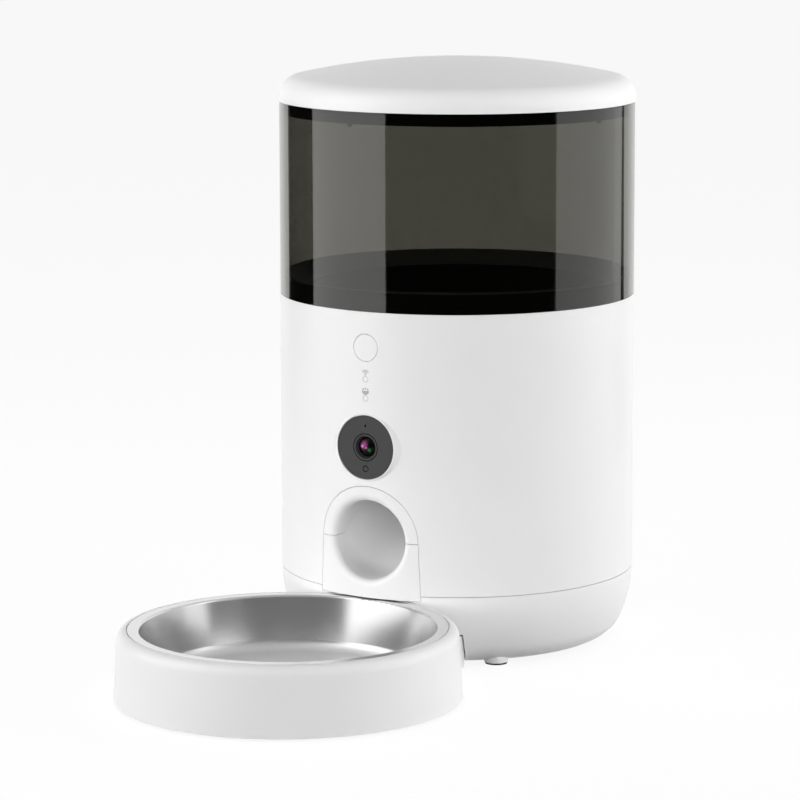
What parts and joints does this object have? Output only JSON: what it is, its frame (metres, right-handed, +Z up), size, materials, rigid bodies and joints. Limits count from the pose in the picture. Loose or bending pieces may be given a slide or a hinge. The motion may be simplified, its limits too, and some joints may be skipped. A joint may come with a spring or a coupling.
{
  "type": "automatic pet feeder with camera",
  "caption": "Round automatic pet feeder: smoked hopper with a metering rotor, front camera, button and arched chute, and a steel bowl in a white holder docked in the base.",
  "frame": {"origin": "middle of the whole footprint, feeder and docked bowl holder together, on the ground under the feet", "axes": "+Z up, front with the chute and the bowl towards -Y, +X to the right for someone who faces the front"},
  "size_m": [0.1966, 0.3642, 0.3211],
  "materials": {
    "white_plastic": "satin white moulded plastic",
    "smoked_plastic": "glossy smoked clear plastic",
    "black_plastic": "matt black moulded plastic",
    "camera_grey": "dark grey satin plastic",
    "lens_glass": "coated dark glass",
    "rubber": "soft dark rubber",
    "rotor_plastic": "grey moulded plastic",
    "gearbox_plastic": "light grey moulded plastic",
    "gear_plastic": "natural acetal plastic",
    "brass": "machined brass",
    "motor_steel": "plated steel",
    "bowl_steel": "satin stainless steel",
    "circuit_board": "green glass-fibre board",
    "board_parts": "black component cases",
    "light_plastic": "clear milky plastic"
  },
  "bodies": {
    "feeder": {"body_shell": "white_plastic", "deck": "black_plastic", "deck_screws": "motor_steel", "chute_upper": "white_plastic", "chute_lower": "white_plastic", "chute_screws": "motor_steel", "food_sensors": "black_plastic", "camera_plate": "camera_grey", "lens_ring": "black_plastic", "camera_lens": "lens_glass", "lens_barrel": "black_plastic", "light_sensor": "lens_glass", "microphone": "black_plastic", "camera_bracket": "black_plastic", "camera_board": "circuit_board", "camera_screws": "motor_steel", "button_switch": "black_plastic", "control_board": "circuit_board", "status_leds": "light_plastic", "light_guides": "light_plastic", "gearbox_case": "gearbox_plastic", "gearbox_cover": "gearbox_plastic", "gearbox_screws": "motor_steel", "drive_motor": "motor_steel", "gear_axles": "motor_steel", "position_switch": "black_plastic", "main_board": "circuit_board", "board_parts": "board_parts", "board_screws": "motor_steel", "speaker": "black_plastic", "base_pan": "white_plastic", "base_screws": "motor_steel", "rubber_feet": "rubber", "battery_contacts": "motor_steel", "power_jack": "black_plastic"},
    "lid": {"lid_shell": "white_plastic", "lid_plug": "black_plastic", "lid_seal": "rubber", "desiccant_tray": "black_plastic"},
    "desiccant_cover_body": {"desiccant_cover": "black_plastic"},
    "hopper": {"hopper_shell": "smoked_plastic", "hopper_floor": "black_plastic", "floor_gasket": "rubber", "strike_baffle": "black_plastic"},
    "rotor_body": {"rotor": "rotor_plastic", "agitator": "rubber", "rotor_clip": "rotor_plastic"},
    "button": {"button_cap": "white_plastic", "switch_plunger": "black_plastic"},
    "motor_rotor": {"motor_shaft": "motor_steel", "motor_pinion": "brass"},
    "first_gear_body": {"first_gear": "gear_plastic"},
    "second_gear_body": {"second_gear": "gear_plastic"},
    "output_gear_body": {"output_gear": "gear_plastic"},
    "battery_door_body": {"battery_door": "white_plastic"},
    "holder": {"bowl_holder": "white_plastic", "holder_pads": "rubber"},
    "bowl": {"steel_bowl": "bowl_steel"}
  },
  "joints": [
    {"name": "hopper_lift", "type": "slide", "parent": "feeder", "child": "hopper", "axis": [0, 0, 1], "range_m": [0, 0.08]},
    {"name": "lid_lift", "type": "slide", "parent": "hopper", "child": "lid", "axis": [0, 0, 1], "range_m": [0, 0.06]},
    {"name": "desiccant_twist", "type": "hinge", "parent": "lid", "child": "desiccant_cover_body", "pos_m": [0, 0.0838, 0.287], "axis": [0, 0, 1], "range_deg": [0, 30]},
    {"name": "rotor_spin", "type": "hinge", "parent": "hopper", "child": "rotor_body", "pos_m": [0, 0.0838, 0.154], "axis": [0, 0, 1], "continuous": true},
    {"name": "output_spin", "type": "hinge", "parent": "feeder", "child": "output_gear_body", "pos_m": [0, 0.0838, 0.134], "axis": [0, 0, 1], "continuous": true},
    {"name": "second_gear_spin", "type": "hinge", "parent": "feeder", "child": "second_gear_body", "pos_m": [0.01524, 0.0926, 0.128], "axis": [0, 0, 1], "continuous": true},
    {"name": "first_gear_spin", "type": "hinge", "parent": "feeder", "child": "first_gear_body", "pos_m": [0.00644, 0.10784, 0.121], "axis": [0, 0, 1], "continuous": true},
    {"name": "motor_spin", "type": "hinge", "parent": "feeder", "child": "motor_rotor", "pos_m": [-0.0088, 0.11664, 0.118], "axis": [0, 0, 1], "continuous": true},
    {"name": "button_press", "type": "slide", "parent": "feeder", "child": "button", "axis": [0, 1, 0], "range_m": [0, 0.0008], "stiffness_N_per_m": 1500},
    {"name": "dock_slide", "type": "slide", "parent": "feeder", "child": "holder", "axis": [0, -1, 0], "range_m": [0, 0.1]},
    {"name": "bowl_tilt", "type": "hinge", "parent": "holder", "child": "bowl", "pos_m": [0, -0.0083, 0.0364], "axis": [-1, 0, 0], "range_deg": [0, 7]},
    {"name": "battery_door_hinge", "type": "hinge", "parent": "feeder", "child": "battery_door_body", "pos_m": [0, 0.049, 0.0028], "axis": [-1, 0, 0], "range_deg": [0, 80]}
  ],
  "couplings": [
    {"joint": "output_spin", "follows": "rotor_spin", "ratio": 1},
    {"joint": "second_gear_spin", "follows": "rotor_spin", "ratio": -4},
    {"joint": "first_gear_spin", "follows": "rotor_spin", "ratio": 16},
    {"joint": "motor_spin", "follows": "rotor_spin", "ratio": -64}
  ]
}
